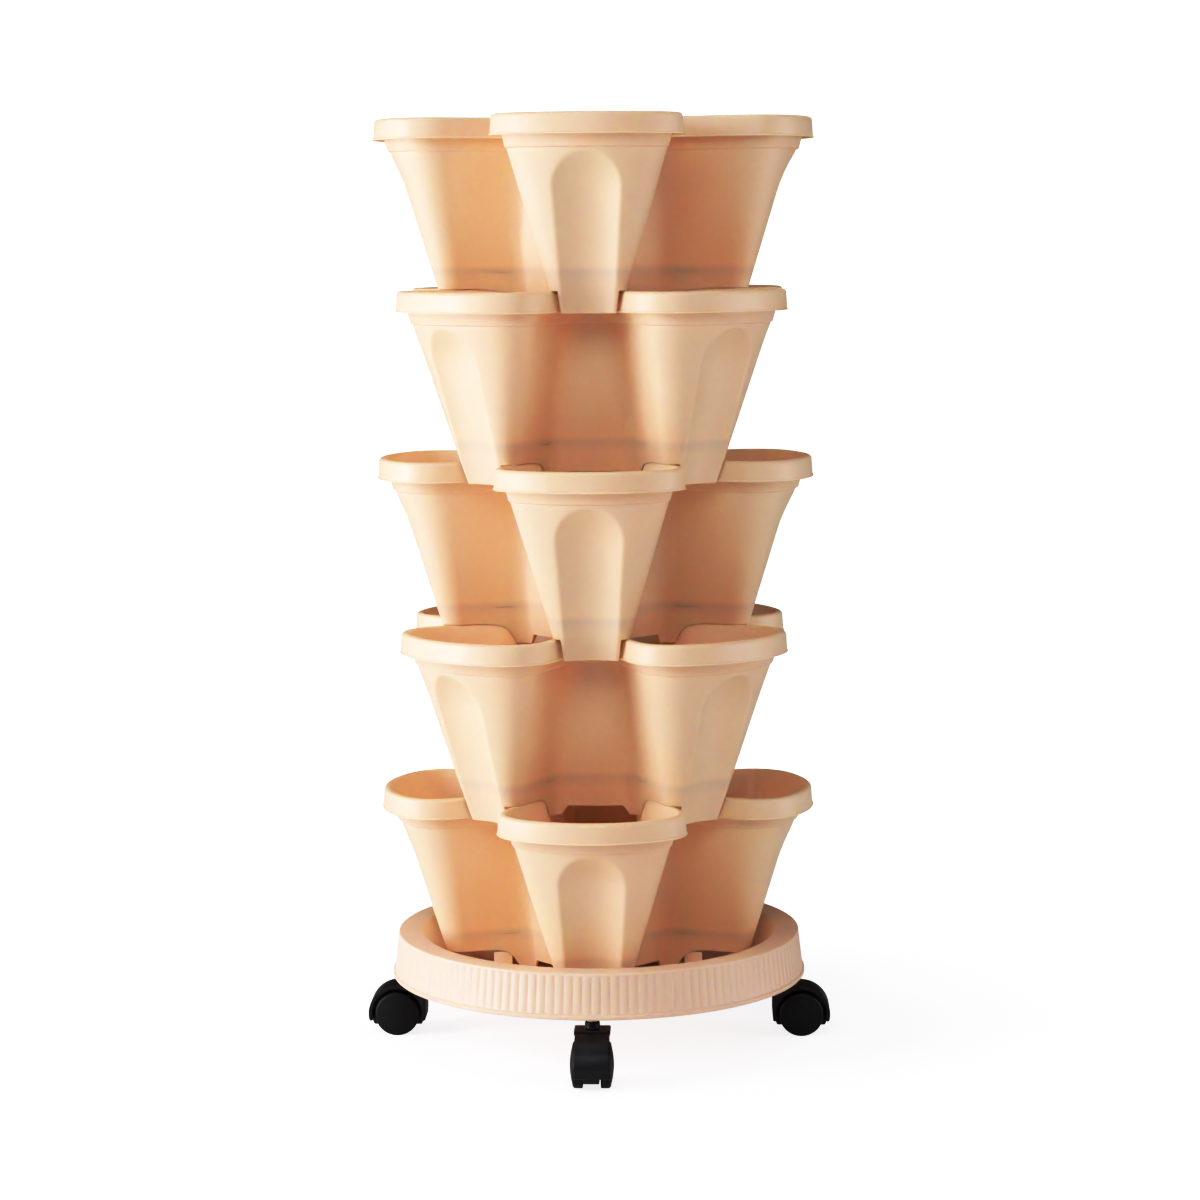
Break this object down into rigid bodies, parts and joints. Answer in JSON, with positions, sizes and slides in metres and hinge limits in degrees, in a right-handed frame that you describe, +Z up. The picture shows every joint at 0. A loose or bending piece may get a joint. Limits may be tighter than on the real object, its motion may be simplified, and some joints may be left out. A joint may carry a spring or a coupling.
{
  "type": "vertical planter tower",
  "caption": "Tower of stacked lobed plant pots, each turned half a lobe from the one below, standing in a round drip tray that rolls on small swivel castors.",
  "frame": {"origin": "on the floor, on the tower's axis, in the middle of the four castors", "axes": "+Z up the tower; -Y towards the front castor, the side the picture was taken from; +X right"},
  "size_m": [0.377, 0.377, 0.7408],
  "materials": {
    "pot_plastic": "satin translucent moulded polypropylene, pale apricot",
    "tray_plastic": "satin moulded polypropylene, pale apricot, finely fluted outside",
    "castor_plastic": "satin black nylon",
    "wheel_plastic": "satin black nylon with a slightly worn tread",
    "steel": "bright zinc-plated steel"
  },
  "bodies": {
    "base": {"tray": "tray_plastic", "castor_right_stem": "steel", "castor_back_stem": "steel", "castor_left_stem": "steel", "castor_front_stem": "steel"},
    "pot_1": {"pot_1": "pot_plastic"},
    "pot_2": {"pot_2": "pot_plastic"},
    "pot_3": {"pot_3": "pot_plastic"},
    "pot_4": {"pot_4": "pot_plastic"},
    "pot_5": {"pot_5": "pot_plastic"},
    "castor_right": {"castor_right_hood": "castor_plastic", "castor_right_axle": "steel"},
    "castor_right_wheel_a": {"castor_right_wheel_a": "wheel_plastic"},
    "castor_right_wheel_b": {"castor_right_wheel_b": "wheel_plastic"},
    "castor_back": {"castor_back_hood": "castor_plastic", "castor_back_axle": "steel"},
    "castor_back_wheel_a": {"castor_back_wheel_a": "wheel_plastic"},
    "castor_back_wheel_b": {"castor_back_wheel_b": "wheel_plastic"},
    "castor_left": {"castor_left_hood": "castor_plastic", "castor_left_axle": "steel"},
    "castor_left_wheel_a": {"castor_left_wheel_a": "wheel_plastic"},
    "castor_left_wheel_b": {"castor_left_wheel_b": "wheel_plastic"},
    "castor_front": {"castor_front_hood": "castor_plastic", "castor_front_axle": "steel"},
    "castor_front_wheel_a": {"castor_front_wheel_a": "wheel_plastic"},
    "castor_front_wheel_b": {"castor_front_wheel_b": "wheel_plastic"}
  },
  "joints": [
    {"name": "pot_1_lift", "type": "slide", "parent": "base", "child": "pot_1", "axis": [0, 0, 1], "range_m": [0, 0.04]},
    {"name": "pot_2_lift", "type": "slide", "parent": "pot_1", "child": "pot_2", "axis": [0, 0, 1], "range_m": [0, 0.04]},
    {"name": "pot_3_lift", "type": "slide", "parent": "pot_2", "child": "pot_3", "axis": [0, 0, 1], "range_m": [0, 0.04]},
    {"name": "pot_4_lift", "type": "slide", "parent": "pot_3", "child": "pot_4", "axis": [0, 0, 1], "range_m": [0, 0.04]},
    {"name": "pot_5_lift", "type": "slide", "parent": "pot_4", "child": "pot_5", "axis": [0, 0, 1], "range_m": [0, 0.04]},
    {"name": "castor_right_swivel", "type": "hinge", "parent": "base", "child": "castor_right", "pos_m": [0.149, 0, 0.045], "axis": [0, 0, 1], "continuous": true},
    {"name": "castor_right_wheel_a_spin", "type": "hinge", "parent": "castor_right", "child": "castor_right_wheel_a", "pos_m": [0.165, 0, 0.018], "axis": [0, 1, 0], "continuous": true},
    {"name": "castor_right_wheel_b_spin", "type": "hinge", "parent": "castor_right", "child": "castor_right_wheel_b", "pos_m": [0.165, 0, 0.018], "axis": [0, 1, 0], "continuous": true},
    {"name": "castor_back_swivel", "type": "hinge", "parent": "base", "child": "castor_back", "pos_m": [0, 0.149, 0.045], "axis": [0, 0, 1], "continuous": true},
    {"name": "castor_back_wheel_a_spin", "type": "hinge", "parent": "castor_back", "child": "castor_back_wheel_a", "pos_m": [0, 0.165, 0.018], "axis": [-1, 0, 0], "continuous": true},
    {"name": "castor_back_wheel_b_spin", "type": "hinge", "parent": "castor_back", "child": "castor_back_wheel_b", "pos_m": [0, 0.165, 0.018], "axis": [-1, 0, 0], "continuous": true},
    {"name": "castor_left_swivel", "type": "hinge", "parent": "base", "child": "castor_left", "pos_m": [-0.149, 0, 0.045], "axis": [0, 0, 1], "continuous": true},
    {"name": "castor_left_wheel_a_spin", "type": "hinge", "parent": "castor_left", "child": "castor_left_wheel_a", "pos_m": [-0.165, 0, 0.018], "axis": [0, -1, 0], "continuous": true},
    {"name": "castor_left_wheel_b_spin", "type": "hinge", "parent": "castor_left", "child": "castor_left_wheel_b", "pos_m": [-0.165, 0, 0.018], "axis": [0, -1, 0], "continuous": true},
    {"name": "castor_front_swivel", "type": "hinge", "parent": "base", "child": "castor_front", "pos_m": [0, -0.149, 0.045], "axis": [0, 0, 1], "continuous": true},
    {"name": "castor_front_wheel_a_spin", "type": "hinge", "parent": "castor_front", "child": "castor_front_wheel_a", "pos_m": [0, -0.165, 0.018], "axis": [1, 0, 0], "continuous": true},
    {"name": "castor_front_wheel_b_spin", "type": "hinge", "parent": "castor_front", "child": "castor_front_wheel_b", "pos_m": [0, -0.165, 0.018], "axis": [1, 0, 0], "continuous": true}
  ]
}
